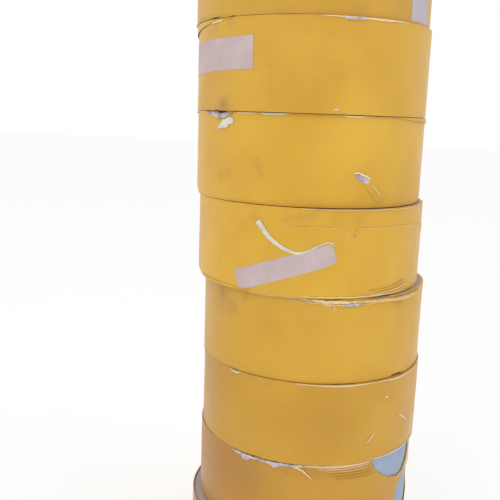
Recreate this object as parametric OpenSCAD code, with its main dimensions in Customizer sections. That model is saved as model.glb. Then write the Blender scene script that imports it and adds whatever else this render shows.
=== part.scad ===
// Steel-cored safety bollard with a stack of loose cushion rings.
// A square base plate carries a welded steel tube. Ten short rings, each a steel hoop in a foam
// cushion with a skin of wound yellow film, are dropped over the tube and kept on by a screwed cap.
// Each ring turns freely on the tube. Millimetres, +Z up, origin at the middle of the plate's
// underside.

/* [Base plate] */
// Thickness of the square base plate
plate_t = 15; // [8:1:25]
// Radius of the plate's corners
plate_corner_r = 22; // [5:1:40]
// Steel left outside each anchor hole's centre line
anchor_edge = 30; // [22:1:60]
// Room from the rings' reach to each anchor's centre, for its washer and a spanner
anchor_clear = 33; // [25:1:80]
// Diameter of each anchor hole
anchor_hole_d = 22; // [12:1:30]
// Diameter of the drain hole in the middle
drain_d = 60; // [20:1:120]

/* [Core tube] */
// Outside diameter of the steel tube
core_d = 219.1; // [114.3:0.1:273]
// Wall of the steel tube
core_wall = 8.2; // [4:0.1:12.7]
// Leg of the fillet weld round the tube's foot
weld_leg = 7; // [4:0.5:12]

/* [Cushion rings] */
// Number of rings in the stack
ring_count = 10; // [4:1:14]
// Height that one ring takes up in the stack
ring_pitch = 100; // [60:1:150]
// Free height between one ring and the next
seam_gap = 0.4; // [0.3:0.05:2]
// Radial play of a hoop round the core tube
core_play = 11; // [4:0.5:15]
// Wall of the steel hoop inside each ring
hoop_wall = 3; // [2:0.25:6]
// Radial thickness of the foam cushion
cushion_t = 15.05; // [8:0.05:60]
// Thickness of the wound film skin
film_t = 1; // [0.8:0.1:3]
// How far the film stands past each end of the cushion
film_over = 0.4; // [0.2:0.1:3]
// Round on the cushion's outer edges
edge_r = 1.5; // [0.5:0.5:8]
// Radius of the place where the film of ring 3 is torn away
torn_r = 26; // [5:1:35]
// Least free play left between a shifted ring's hoop and the core tube
play_left = 1; // [0.5:0.1:3]

/* [Seat and head] */
// Height of the plastic seat ring under the lowest ring
seat_t = 10; // [8:1:25]
// How far the seat ring's edge lies in from the film's face
seat_inset = 4; // [1:1:12]
// Thickness of the head ring welded inside the tube's top
head_t = 14; // [8:1:25]
// Width of the head ring
head_w = 52; // [30:1:60]
// Free height between the highest ring and the cap
cap_gap = 2; // [1:0.5:8]
// Thickness of the pressed cap
cap_t = 6; // [4:0.5:10]
// Round on the cap's outer edge
cap_edge_r = 3.5; // [1:0.5:6]
// Rise of the cap's dome above its flange
cap_rise = 14; // [6:1:30]
// How far the cap stands out past the tube
cap_reach = 20; // [12:1:40]
// Thread diameter of the cap screws
screw_d = 12; // [6:1:16]
// Length of the cap screws under the head
screw_len = 18; // [12:1:40]
// Number of cap screws
screw_count = 4; // [3:1:8]

/* [Tape left on the rings] */
// Thickness of the masking tape
tape_t = 0.3; // [0.1:0.05:1]
// Width of the upright tape on ring 9
strip_w = 42; // [24:1:60]
// Length of the upright tape on ring 9
strip_len = 78; // [30:1:94]
// Width of the tape that wraps the side of ring 8
patch_w = 36; // [24:1:60]
// Length of the tape on ring 8
patch_len = 215; // [60:1:280]
// Width of the slanted tape on ring 6
slant_w = 24; // [12:1:36]
// Length of the slanted tape
slant_len = 119; // [60:1:140]
// Slope of the slanted tape, in degrees
slant_angle = 19.5; // [0:0.5:22]
// Radius of the torn liner strip's curve
liner_r = 51; // [30:1:60]
// Width of the torn liner strip
liner_w = 4; // [2:0.5:8]

/* [View] */
// Which node to draw

/* [Hidden] */
$fn = 96;
skin_gap = 0.2;                    // free film between two curved layers of one ring
fit_gap = 0.3;                     // free space between a fixed piece and a curved neighbour

core_r = core_d / 2;
core_bore_r = core_r - core_wall;
hoop_bore_r = core_r + core_play;
hoop_r = hoop_bore_r + hoop_wall;
cushion_bore_r = hoop_r + skin_gap;
cushion_r = cushion_bore_r + cushion_t;
film_bore_r = cushion_r + skin_gap;
ring_r = film_bore_r + film_t;
ring_h = ring_pitch - seam_gap;

// Where each ring stands off the core's axis, as shares of the play that it may use, from the
// lowest ring up. Dropped-in rings never line up, and these are how this stack came to rest.
lean = [[0.5, 0.4], [-0.25, -0.5], [0.69, 0.2], [0.92, -0.1], [0.75, 0.1],
        [-0.13, -0.3], [-0.6, 0.3], [-0.65, -0.1], [-0.94, 0.1], [-0.5, -0.4]];
shift = core_play - play_left;     // furthest a ring may stand off the core's axis
ring_reach = ring_r + shift;

anchor_pitch = 10 * ceil(sqrt(2) * (ring_reach + anchor_clear) / 10);
plate_w = anchor_pitch + 2 * anchor_edge;

stack_z = plate_t + seat_t;        // the lowest ring rests here
stack_top = stack_z + ring_count * ring_pitch;
core_top = stack_top + cap_gap;    // the cap sits on the tube here

seat_bore_r = core_r + weld_leg + 1.5;
head_r = core_bore_r - fit_gap;
head_bore_r = core_bore_r - head_w;
cap_r = core_r + cap_reach;
cap_dome_r = head_bore_r - 4;      // foot of the dome, inside the ring of screws
screw_pitch_r = core_bore_r - head_w / 2;
screw_head_r = 0.9 * screw_d;
screw_head_h = 0.55 * screw_d;

tape_gap = 0.05;                   // glue line under the tape
tape_r = ring_r + tape_gap;
slant_turn = -11.6;                // where the slanted tape is, in degrees right of the front
liner_turn = slant_turn + 16.13 / ring_r * 180 / PI;   // the liner starts beside its middle

function pad(k) = k < 10 ? str("0", k) : str(k);
function ring_z(k) = stack_z + (k - 1) * ring_pitch + seam_gap / 2;
function ring_at(k) = shift * lean[(k - 1) % len(lean)];

// A square with round corners, centred.
module round_square(w, r) {
    square([w, w - 2 * r], center = true);
    square([w - 2 * r, w], center = true);
    for (sx = [-1, 1], sy = [-1, 1]) translate([sx, sy] * (w / 2 - r)) circle(r);
}

// Half section of a ring: a block from r_in to r_out with its two outer corners rounded.
module ring_section(r_in, r_out, h, round_r) {
    translate([r_in, 0]) square([r_out - r_in - round_r, h]);
    translate([r_out - 2 * round_r, round_r]) square([2 * round_r, h - 2 * round_r]);
    for (z = [round_r, h - round_r]) translate([r_out - round_r, z]) circle(round_r);
}

// Puts a ring's piece at ring k's own axis and underside.
module on_ring(k) {
    translate([ring_at(k)[0], ring_at(k)[1], ring_z(k)]) children();
}

// A thin curved sheet on the film, r to r + t, where the block given as child meets it.
module stuck_sheet(t) {
    intersection() {
        difference() {
            cylinder(r = tape_r + t, h = ring_h);
            translate([0, 0, -1]) cylinder(r = tape_r, h = ring_h + 2);
        }
        children();
    }
}

// A block that faces out at turn degrees from the front, its middle z up the ring, w long round
// the ring and h high, sloped by slope.
module facing_block(turn, z, w, h, slope = 0) {
    half = w / ring_r * 90 / PI;   // half the angle that the block spans
    if (half < 45)
        rotate([0, 0, turn]) translate([0, -ring_r, z]) rotate([0, -slope, 0])
            cube([2 * ring_r * sin(half), ring_r, h], center = true);
    else
        translate([0, 0, z - h / 2]) linear_extrude(h)
            polygon(concat([[0, 0]], [for (a = [-half : half / 4 : half])
                2 * ring_r * [sin(turn + a), -cos(turn + a)]]));
}

module base_plate() {
    color("dimgray") difference() {
        linear_extrude(plate_t) round_square(plate_w, plate_corner_r);
        translate([0, 0, -1]) cylinder(d = drain_d, h = plate_t + 2);
        for (sx = [-1, 1], sy = [-1, 1])
            translate([sx * anchor_pitch / 2, sy * anchor_pitch / 2, -1])
                cylinder(d = anchor_hole_d, h = plate_t + 2);
    }
}

module core_tube() {
    color("silver") translate([0, 0, plate_t]) difference() {
        cylinder(r = core_r, h = core_top - plate_t);
        translate([0, 0, -1]) cylinder(r = core_bore_r, h = core_top - plate_t + 2);
    }
}

module foot_weld() {
    color("gray") translate([0, 0, plate_t]) rotate_extrude()
        polygon([[core_r + 0.1, 0], [core_r + weld_leg, 0], [core_r + 0.1, weld_leg]]);
}

module seat_ring() {
    color("black") translate([0, 0, plate_t]) difference() {
        cylinder(r = ring_r - seat_inset, h = seat_t);
        translate([0, 0, -1]) cylinder(r = seat_bore_r, h = seat_t + 2);
    }
}

module head_ring() {
    color("gray") translate([0, 0, core_top - head_t]) difference() {
        cylinder(r = head_r, h = head_t);
        translate([0, 0, -1]) cylinder(r = head_bore_r, h = head_t + 2);
        screw_places() translate([0, 0, -1]) cylinder(r = screw_d / 2 + fit_gap, h = head_t + 2);
    }
}

module head_weld() {
    color("gray") translate([0, 0, core_top - head_t]) rotate_extrude()
        polygon([[core_bore_r - 0.1, 0], [core_bore_r - weld_leg, 0],
                 [core_bore_r - 0.1, -weld_leg]]);
}

module screw_places() {
    for (i = [0 : screw_count - 1]) rotate([0, 0, 45 + i * 360 / screw_count])
        translate([screw_pitch_r, 0, 0]) children();
}

// A flat flange on the tube's end with a shallow dome inside the ring of screws.
module cap() {
    dome_r = (pow(cap_dome_r, 2) + pow(cap_rise, 2)) / (2 * cap_rise);
    inner_r = dome_r - cap_t;
    color("gold") translate([0, 0, core_top]) difference() {
        union() {
            rotate_extrude() {
                square([cap_r - cap_edge_r, cap_t]);
                square([cap_r, cap_t - cap_edge_r]);
                translate([cap_r - cap_edge_r, cap_t - cap_edge_r]) circle(cap_edge_r);
            }
            intersection() {
                translate([0, 0, cap_t + cap_rise - dome_r]) sphere(dome_r);
                cylinder(r = cap_r, h = cap_t + cap_rise);
            }
        }
        translate([0, 0, -cap_t]) intersection() {
            translate([0, 0, cap_t + cap_t + cap_rise - dome_r]) sphere(inner_r);
            cylinder(r = cap_r, h = 2 * cap_t + cap_rise);
        }
        screw_places() translate([0, 0, -1]) cylinder(r = screw_d / 2 + 0.8, h = cap_t + 2);
    }
}

// Button-head screws with hexagon sockets.
module cap_screws() {
    color("silver") translate([0, 0, core_top + cap_t]) screw_places() difference() {
        union() {
            translate([0, 0, -screw_len]) cylinder(d = screw_d, h = screw_len + 0.5);
            intersection() {
                translate([0, 0, screw_head_h - 1.4 * screw_head_r]) sphere(1.4 * screw_head_r);
                cylinder(r = screw_head_r, h = screw_head_h);
            }
        }
        translate([0, 0, screw_head_h * 0.35]) cylinder(r = 0.33 * screw_d, h = screw_head_h, $fn = 6);
    }
}

module hoop(k) {
    color("silver") on_ring(k) difference() {
        cylinder(r = hoop_r, h = ring_h);
        translate([0, 0, -1]) cylinder(r = hoop_bore_r, h = ring_h + 2);
    }
}

module cushion(k) {
    color("lightsteelblue") on_ring(k) translate([0, 0, film_over]) rotate_extrude()
        ring_section(cushion_bore_r, cushion_r, ring_h - 2 * film_over, edge_r);
}

// The wound skin, a sleeve trimmed close to the cushion's two ends.
module film(k) {
    color("goldenrod") on_ring(k) difference() {
        cylinder(r = ring_r, h = ring_h);
        translate([0, 0, -1]) cylinder(r = film_bore_r, h = ring_h + 2);
        if (k == 3) torn_place();
    }
}

// Where the skin of ring 3 is torn away below its upper edge.
module torn_place() {
    rotate([0, 0, 50]) translate([0, -ring_r, ring_h - 8]) rotate([90, 0, 0])
        cylinder(r = torn_r, h = 20 * film_t, center = true);
}

module tape_strip() {
    color("lavender") on_ring(min(9, ring_count)) stuck_sheet(tape_t)
        facing_block(58, 1.5 + strip_len / 2, strip_w, strip_len);
}

module tape_patch() {
    color("pink") on_ring(min(8, ring_count)) stuck_sheet(tape_t)
        facing_block(-71, 0.61 * ring_pitch, patch_len, patch_w);
}

module slant_block(room = 0) {
    facing_block(slant_turn, 0.32 * ring_pitch, slant_len + 2 * room, slant_w + 2 * room,
                 slant_angle);
}

module tape_slant() {
    color("thistle") on_ring(min(6, ring_count)) stuck_sheet(tape_t) slant_block();
}

// A torn strip of white liner that curves down to the slanted tape's upper edge.
module liner_strip() {
    color("white") on_ring(min(6, ring_count)) stuck_sheet(tape_t) difference() {
        rotate([0, 0, liner_turn]) translate([0, -ring_r, 0.5 * ring_pitch + liner_r])
            rotate([90, 0, 0])
            intersection() {
                difference() {
                    cylinder(r = liner_r, h = ring_r, center = true);
                    cylinder(r = liner_r - liner_w, h = ring_r + 2, center = true);
                }
                translate([-liner_r, -liner_r, -ring_r / 2])
                    cube([1.55 * liner_r, liner_r * 0.62, ring_r]);
            }
        slant_block(fit_gap);
    }
}

base_plate();
core_tube();
foot_weld();
seat_ring();
head_ring();
head_weld();
cap();
cap_screws();
for (k = [1 : ring_count]) {
    hoop(k);
    cushion(k);
    film(k);
}
tape_strip();
tape_patch();
tape_slant();
liner_strip();
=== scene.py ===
# %% [markdown]
# # A steel-cored safety bollard
#
# The bollard is a welded steel tube on a bolted plate. Ten loose cushion rings are dropped over
# the tube, each a foam ring in a sleeve of yellow film, and a screwed cap keeps them on. The CAD
# frame already holds every piece at its real size, so this lesson only dresses it: worn film with
# torn edges, pale foam, bits of masking tape, galvanised and painted steel.

# %% Load the frame and note its box
import math
import random

import bpy
import numpy as np
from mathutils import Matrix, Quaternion, Vector, noise


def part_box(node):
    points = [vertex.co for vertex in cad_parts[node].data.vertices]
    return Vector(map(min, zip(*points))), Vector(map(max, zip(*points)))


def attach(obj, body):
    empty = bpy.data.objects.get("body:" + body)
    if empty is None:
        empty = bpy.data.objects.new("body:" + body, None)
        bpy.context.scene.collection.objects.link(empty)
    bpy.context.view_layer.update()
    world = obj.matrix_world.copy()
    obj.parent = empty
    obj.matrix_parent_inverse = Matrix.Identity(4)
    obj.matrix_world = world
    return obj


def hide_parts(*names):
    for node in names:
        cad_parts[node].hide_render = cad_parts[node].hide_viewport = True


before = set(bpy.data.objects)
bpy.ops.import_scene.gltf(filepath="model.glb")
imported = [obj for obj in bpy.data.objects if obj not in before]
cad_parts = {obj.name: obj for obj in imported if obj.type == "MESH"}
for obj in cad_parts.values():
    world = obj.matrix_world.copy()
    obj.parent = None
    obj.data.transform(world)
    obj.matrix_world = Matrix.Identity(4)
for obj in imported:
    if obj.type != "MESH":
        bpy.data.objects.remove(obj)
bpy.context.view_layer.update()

MM = 0.001

# %% [markdown]
# ## Where the rings stand
#
# A loose ring never comes to rest square on the one below. Each film node's box gives the ring's
# own axis, its foot and its top. Places on a ring are then said as a person would say them: so
# many degrees round from the front, so many millimetres up from the ring's foot, and how far the
# place stands off the film's face.

# %% Read the rings from the frame
RINGS = {}
for node in sorted(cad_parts):
    if node.startswith("film_"):
        low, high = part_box(node)
        RINGS[int(node[-2:])] = {
            "x": (low.x + high.x) / 2, "y": (low.y + high.y) / 2,
            "foot": low.z, "height": high.z - low.z, "r": (high.x - low.x) / 2}
RING_R = max(ring["r"] for ring in RINGS.values())
RING_H = RINGS[1]["height"]
print(len(RINGS), "rings, radius", round(RING_R, 4), "height", round(RING_H, 4))


def ring_point(ring, degrees, up_mm, off_mm=0.0):
    """A place on ring number `ring`: degrees right of the front, mm up, mm off the face."""
    at, turn = RINGS[ring], math.radians(degrees)
    r = RING_R + off_mm * MM
    return Vector((at["x"] + r * math.sin(turn), at["y"] - r * math.cos(turn),
                   at["foot"] + up_mm * MM))


# %% [markdown]
# ## Small helpers
#
# Operators act on everything that is selected, and the frame leaves its nodes selected, so each
# step first selects just the one piece it works on. A finished piece has its modifiers and its
# place applied, then it is told which body it rides on, and the plain nodes it stands for are
# hidden.

# %% Selecting and finishing
def only(piece):
    """Leaves edit mode and selects one piece alone."""
    if bpy.context.mode != "OBJECT":
        bpy.ops.object.mode_set(mode="OBJECT")
    bpy.ops.object.select_all(action="DESELECT")
    piece.select_set(True)
    bpy.context.view_layer.objects.active = piece


def added(name):
    """Names the primitive that was just added, and its mesh."""
    piece = bpy.context.object
    piece.name = piece.data.name = name
    return piece


def apply_modifiers(piece):
    only(piece)
    for modifier in list(piece.modifiers):
        bpy.ops.object.modifier_apply(modifier=modifier.name)


def close_and_face_out(piece, join=0.00001):
    """Merges the points that meet and turns every face outward."""
    only(piece)
    bpy.ops.object.mode_set(mode="EDIT")
    bpy.ops.mesh.select_all(action="SELECT")
    bpy.ops.mesh.remove_doubles(threshold=join)
    bpy.ops.mesh.normals_make_consistent(inside=False)
    bpy.ops.object.mode_set(mode="OBJECT")


def finish(piece, body, slot, material, *nodes, smooth=35):
    """Gives a piece its shading and material and its body, and hides the nodes it replaces; `slot`
    is not used.
    """
    apply_modifiers(piece)
    bpy.ops.object.transform_apply(location=True, rotation=True, scale=True)
    bpy.ops.object.shade_smooth_by_angle(angle=math.radians(smooth))
    piece.data.materials.clear()
    piece.data.materials.append(material)
    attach(piece, body)
    if nodes:
        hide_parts(*nodes)
    print(f"{piece.name}: {len(piece.data.polygons)} faces on {body}")
    return piece


def copy_of(piece, name):
    twin = piece.copy()
    twin.data = piece.data.copy()
    twin.name = twin.data.name = name
    bpy.context.collection.objects.link(twin)
    return twin


def ease(x):
    """0 below 0, 1 above 1 and a smooth step between."""
    x = min(1.0, max(0.0, x))
    return x * x * (3 - 2 * x)


# %% [markdown]
# ## Material helpers
#
# Every finish is built from a Principled shader with a few noise layers in the object's own
# coordinates. Two short helpers keep the node code readable: one adds a node with its values, the
# other joins sockets.

# %% Node helpers
def new_material(name, **constants):
    """A Principled material; each keyword sets the input of that name."""
    material = bpy.data.materials.new(name)
    material.use_nodes = True
    shader = material.node_tree.nodes["Principled BSDF"]
    for socket, value in constants.items():
        shader.inputs[socket.replace("_", " ")].default_value = value
    return material, material.node_tree, shader


def add(tree, kind, settings=None, **values):
    node = tree.nodes.new("ShaderNode" + kind)
    for key, value in (settings or {}).items():
        setattr(node, key, value)
    for key, value in values.items():
        node.inputs[key.replace("_", " ")].default_value = value
    return node


def join(tree, source, target):
    tree.links.new(source, target)


def place_on_object(tree, stretch=(1, 1, 1)):
    coordinates = add(tree, "TexCoord")
    mapping = add(tree, "Mapping", Scale=stretch)
    join(tree, coordinates.outputs["Object"], mapping.inputs["Vector"])
    return mapping.outputs["Vector"]


def noise_at(tree, vector, scale, detail=3.0, roughness=0.5, distortion=0.0):
    node = add(tree, "TexNoise", Scale=scale, Detail=detail, Roughness=roughness,
               Distortion=distortion)
    join(tree, vector, node.inputs["Vector"])
    return node.outputs["Fac"]


def remap(tree, value, low, high, to_low=0.0, to_high=1.0):
    """A smooth step of a value, from one range to another."""
    node = add(tree, "MapRange")
    node.interpolation_type = "SMOOTHSTEP"
    for key, number in zip(("From Min", "From Max", "To Min", "To Max"),
                           (low, high, to_low, to_high)):
        node.inputs[key].default_value = number
    join(tree, value, node.inputs["Value"])
    return node.outputs["Result"]


def times(tree, a, b):
    node = add(tree, "Math", {"operation": "MULTIPLY"})
    for socket, value in zip(node.inputs, (a, b)):
        if isinstance(value, (int, float)):
            socket.default_value = value
        else:
            join(tree, value, socket)
    return node.outputs["Value"]


def blend(tree, factor, a, b, kind="MIX"):
    """Mixes two colours, each an RGB tuple or a socket, by a factor socket or number."""
    node = add(tree, "Mix", {"data_type": "RGBA", "blend_type": kind})
    for socket, value in ((node.inputs[0], factor), (node.inputs[6], a), (node.inputs[7], b)):
        if isinstance(value, tuple):
            socket.default_value = (*value, 1)
        elif isinstance(value, (int, float)):
            socket.default_value = value
        else:
            join(tree, value, socket)
    return node.outputs[2]


def bump(tree, shader, height, strength, distance, under=None):
    """Raises the surface by a height; `under` is a coarser bump that this one rides on."""
    node = add(tree, "Bump", Strength=strength, Distance=distance)
    join(tree, height, node.inputs["Height"])
    if under is not None:
        join(tree, under, node.inputs["Normal"])
    join(tree, node.outputs["Normal"], shader.inputs["Normal"])
    return node.outputs["Normal"]


def attribute(tree, name):
    return add(tree, "Attribute", {"attribute_name": name}).outputs["Fac"]


# %% [markdown]
# ## Yellow film
#
# The rings are sleeved in yellow vinyl, handled for years: it is satin rather than shiny and a
# little blotchy, with a pale sheen where a surface turns away. The broad blotches and the fine
# grain are noise. Two numbers stored on the mesh steer the rest: `tone` makes the film darker and
# browner, partly its own browning and partly painted shade, and the other marks the smudges that
# hands and knocks have left, and a painted shadow at the top left of ring 8.

# %% The film's material
FILM_LIGHT = (0.66, 0.385, 0.034)
FILM_DEEP = (0.59, 0.325, 0.020)
FILM_DARK_BROWN = (0.40, 0.185, 0.022)
FILM_SMUDGE_AND_SHADOW = (0.31, 0.165, 0.055)


def film_material(name, pale=0.0):
    material, tree, shader = new_material(
        name, Roughness=0.46, Sheen_Weight=0.17, Sheen_Roughness=0.4,
        Sheen_Tint=(0.93, 0.86, 0.98, 1), Specular_IOR_Level=0.38)
    place = place_on_object(tree)
    broad = remap(tree, noise_at(tree, place, 7, 4, 0.55), 0.36, 0.66)
    colour = blend(tree, broad, FILM_DEEP, FILM_LIGHT)
    # Darker, browner film where `tone` is high: its own browning, and painted shade towards the
    # top and foot of the stack and down the left of the lower rings.
    colour = blend(tree, attribute(tree, "tone"), colour, FILM_DARK_BROWN)
    streaks = noise_at(tree, place_on_object(tree, (30, 30, 4)), 1.4, 4, 0.6)
    colour = blend(tree, remap(tree, streaks, 0.56, 0.8, 0, 0.12), colour, FILM_DARK_BROWN)
    ragged = remap(tree, noise_at(tree, place, 120, 5, 0.7), 0.3, 0.62, 0.25, 1)
    # Smudges and the end bands darken the film; at the top left of ring 8 the same darkening is a
    # painted shadow under the overhanging film.
    colour = blend(tree, times(tree, attribute(tree, "smudge_and_shadow"), ragged), colour, FILM_SMUDGE_AND_SHADOW)
    # The pale films are the yellow film painted lighter: a painted highlight on curled lips and
    # cut edges, over their own paler edge.
    if pale:
        colour = blend(tree, pale, colour, (0.86, 0.74, 0.52))
    join(tree, colour, shader.inputs["Base Color"])
    rough = remap(tree, noise_at(tree, place, 18, 5, 0.6), 0.3, 0.7, 0.40, 0.56)
    join(tree, rough, shader.inputs["Roughness"])
    dents = bump(tree, shader, noise_at(tree, place, 26, 3, 0.5), 0.35, 0.0008)
    bump(tree, shader, noise_at(tree, place, 620, 3, 0.6), 0.16, 0.0001, dents)
    return material


yellow_film = film_material("yellow_film")
# Amber and cream edge films: painted highlights, for lips, the lap's edge and the gouge's rim.
amber_highlight_film = film_material("amber_highlight_film_edge", pale=0.28)
cream_highlight_film = film_material("cream_highlight_film_edge", pale=0.58)
print("film materials:", yellow_film.name, amber_highlight_film.name, cream_highlight_film.name)

# %% [markdown]
# ## Foam, tape and liner
#
# The cushion is a pale blue closed-cell foam: tiny cells, almost no gloss. Masking tape is creped
# paper, so it has fine ridges across its length and the yellow below warms it. The liner is thin
# white backing paper that tore instead of peeling away.

# %% Foam, tape and liner materials
def foam_material():
    material, tree, shader = new_material("blue_foam", Roughness=0.82, Specular_IOR_Level=0.3)
    place = place_on_object(tree)
    soft = remap(tree, noise_at(tree, place, 22, 4, 0.6), 0.3, 0.7)
    colour = blend(tree, soft, (0.27, 0.335, 0.455), (0.345, 0.41, 0.53))
    dust = remap(tree, noise_at(tree, place, 70, 5, 0.7), 0.55, 0.8, 0, 0.35)
    colour = blend(tree, dust, colour, (0.44, 0.39, 0.42))
    colour = blend(tree, attribute(tree, "tone"), colour, (0.43, 0.37, 0.385))
    join(tree, colour, shader.inputs["Base Color"])
    cells = add(tree, "TexVoronoi", Scale=900.0)
    join(tree, place, cells.inputs["Vector"])
    bump(tree, shader, cells.outputs["Distance"], 0.3, 0.0003)
    return material


def tape_material(name, dull, bright):
    material, tree, shader = new_material(name, Roughness=0.74, Specular_IOR_Level=0.3)
    uv = add(tree, "UVMap").outputs["UV"]
    along = add(tree, "Mapping", Scale=(560, 26, 1))
    join(tree, uv, along.inputs["Vector"])
    crepe = noise_at(tree, along.outputs["Vector"], 1.0, 3, 0.6)
    place = place_on_object(tree)
    patchy = remap(tree, noise_at(tree, place, 30, 4, 0.6), 0.3, 0.7)
    colour = blend(tree, patchy, dull, bright)
    colour = blend(tree, remap(tree, crepe, 0.3, 0.75, 0, 0.16), colour, (0.40, 0.29, 0.27))
    soiled = remap(tree, noise_at(tree, place, 90, 4, 0.7), 0.6, 0.8, 0, 0.3)
    colour = blend(tree, soiled, colour, (0.36, 0.27, 0.25))
    join(tree, colour, shader.inputs["Base Color"])
    bump(tree, shader, crepe, 0.3, 0.00015)
    return material


def liner_material(name, dull, bright):
    material, tree, shader = new_material(name, Roughness=0.6)
    place = place_on_object(tree)
    tint = remap(tree, noise_at(tree, place, 95, 4, 0.65), 0.35, 0.65)
    colour = blend(tree, tint, dull, bright)
    join(tree, colour, shader.inputs["Base Color"])
    bump(tree, shader, noise_at(tree, place, 400, 4, 0.6), 0.35, 0.0002)
    return material


blue_foam = foam_material()
masking_tape = tape_material("masking_tape", (0.48, 0.375, 0.37), (0.54, 0.435, 0.43))
pale_tape = tape_material("pale_tape", (0.44, 0.40, 0.43), (0.51, 0.45, 0.50))
white_liner = liner_material("white_liner", (0.52, 0.49, 0.45), (0.64, 0.64, 0.51))
# The lavender liner is the white liner painted darker: painted shade, for liner in the gouge pit
# and in the seams.
shaded_lavender_liner = liner_material("shaded_lavender_liner", (0.33, 0.27, 0.32), (0.56, 0.51, 0.55))
print("soft materials:", blue_foam.name, masking_tape.name, white_liner.name)

# %% [markdown]
# ## Metal and plastic
#
# The base plate and the tube are hot-dip galvanised, which leaves grey spangles and, here and
# there, a little rust. The cap is painted yellow over steel and has chipped. The seat ring under
# the stack is a plain black plastic washer with a turned grain.

# %% Metal and plastic materials
def galvanised_material():
    material, tree, shader = new_material("galvanised_steel", Metallic=0.85, Roughness=0.5)
    place = place_on_object(tree)
    spangle = add(tree, "TexVoronoi", Scale=70.0)
    join(tree, place, spangle.inputs["Vector"])
    grey = add(tree, "SeparateColor")
    join(tree, spangle.outputs["Color"], grey.inputs["Color"])
    colour = blend(tree, grey.outputs["Red"], (0.36, 0.37, 0.385), (0.50, 0.51, 0.52))
    rust = remap(tree, noise_at(tree, place, 16, 8, 0.68), 0.58, 0.74, 0, 0.8)
    colour = blend(tree, rust, colour, (0.20, 0.085, 0.035))
    join(tree, colour, shader.inputs["Base Color"])
    join(tree, remap(tree, grey.outputs["Red"], 0, 1, 0.40, 0.58), shader.inputs["Roughness"])
    bump(tree, shader, noise_at(tree, place, 240, 4, 0.6), 0.25, 0.0003)
    return material


def painted_material():
    material, tree, shader = new_material("painted_cap", Roughness=0.42, Coat_Weight=0.15,
                                          Coat_Roughness=0.3)
    place = place_on_object(tree)
    shade = remap(tree, noise_at(tree, place, 9, 4, 0.6), 0.35, 0.65)
    colour = blend(tree, shade, (0.62, 0.335, 0.03), (0.74, 0.43, 0.045))
    chips = remap(tree, noise_at(tree, place, 34, 7, 0.72), 0.64, 0.655)
    colour = blend(tree, chips, colour, (0.17, 0.075, 0.04))
    dust = remap(tree, noise_at(tree, place, 5, 5, 0.6), 0.45, 0.75, 0, 0.3)
    colour = blend(tree, dust, colour, (0.50, 0.44, 0.36))
    join(tree, colour, shader.inputs["Base Color"])
    join(tree, remap(tree, chips, 0, 1, 0.40, 0.85), shader.inputs["Roughness"])
    peel = bump(tree, shader, noise_at(tree, place, 160, 3, 0.5), 0.12, 0.0003)
    flipped = remap(tree, chips, 0, 1, 1, 0)
    bump(tree, shader, flipped, 0.5, 0.0003, peel)
    return material


def plastic_material():
    material, tree, shader = new_material("black_plastic", Roughness=0.55)
    place = place_on_object(tree)
    grain = noise_at(tree, place_on_object(tree, (1, 1, 60)), 30, 4, 0.6)
    colour = blend(tree, grain, (0.018, 0.018, 0.02), (0.05, 0.05, 0.052))
    dust = remap(tree, noise_at(tree, place, 40, 5, 0.7), 0.5, 0.8, 0, 0.4)
    colour = blend(tree, dust, colour, (0.22, 0.20, 0.18))
    join(tree, colour, shader.inputs["Base Color"])
    bump(tree, shader, grain, 0.2, 0.0003)
    return material


def worn_steel_material(name, dark, light, scale, rough):
    material, tree, shader = new_material(name, Metallic=0.9, Roughness=rough)
    place = place_on_object(tree)
    mottled = remap(tree, noise_at(tree, place, scale, 6, 0.65), 0.35, 0.65)
    join(tree, blend(tree, mottled, dark, light), shader.inputs["Base Color"])
    join(tree, remap(tree, mottled, 0, 1, rough + 0.08, rough - 0.08),
         shader.inputs["Roughness"])
    bump(tree, shader, noise_at(tree, place, scale * 8, 4, 0.6), 0.3, 0.0003)
    return material


galvanised, painted_cap, black_plastic = (galvanised_material(), painted_material(),
                                          plastic_material())
weld_metal = worn_steel_material("weld_metal", (0.10, 0.09, 0.085), (0.27, 0.26, 0.25), 90, 0.55)
hoop_steel = worn_steel_material("hoop_steel", (0.30, 0.29, 0.28), (0.55, 0.55, 0.56), 28, 0.42)
zinc_screw = worn_steel_material("zinc_screw", (0.50, 0.48, 0.42), (0.68, 0.68, 0.66), 60, 0.34)
print("hard materials:", galvanised.name, painted_cap.name, black_plastic.name)

# %% [markdown]
# ## Camera, light and floor
#
# The bollard is seen from close by and a little above its middle, so the camera looks slightly
# down and past it to the left. A wide white sky and two soft lamps high in front give the flat
# daylight of a yard, and a pale floor runs out to the horizon.

# %% Camera
EYE = Vector((-0.012, -0.878, 0.719))
LOOK_DOWN, LOOK_LEFT, ROLL = math.radians(10.94), math.radians(4.16), math.radians(2.0)
bpy.ops.object.camera_add(location=EYE)
camera = bpy.context.object
camera.rotation_mode = "QUATERNION"
UPWARD, RIGHTWARD = Vector((0, 0, 1)), Vector((1, 0, 0))
camera.rotation_quaternion = (Quaternion(UPWARD, LOOK_LEFT)
                              @ Quaternion(RIGHTWARD, math.radians(90) - LOOK_DOWN)
                              @ Quaternion(UPWARD, ROLL))
camera.data.lens = 49.4
camera.data.sensor_width = 36
camera.data.clip_start = 0.01
bpy.context.scene.camera = camera
print("camera at", tuple(EYE), "lens", camera.data.lens)

# %% Light and floor
bpy.context.scene.view_settings.view_transform = "Standard"
world = bpy.data.worlds.new("white_sky")
bpy.context.scene.world = world
world.use_nodes = True
world.node_tree.nodes["Background"].inputs["Color"].default_value = (1, 1, 1, 1)
world.node_tree.nodes["Background"].inputs["Strength"].default_value = 1.0


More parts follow.
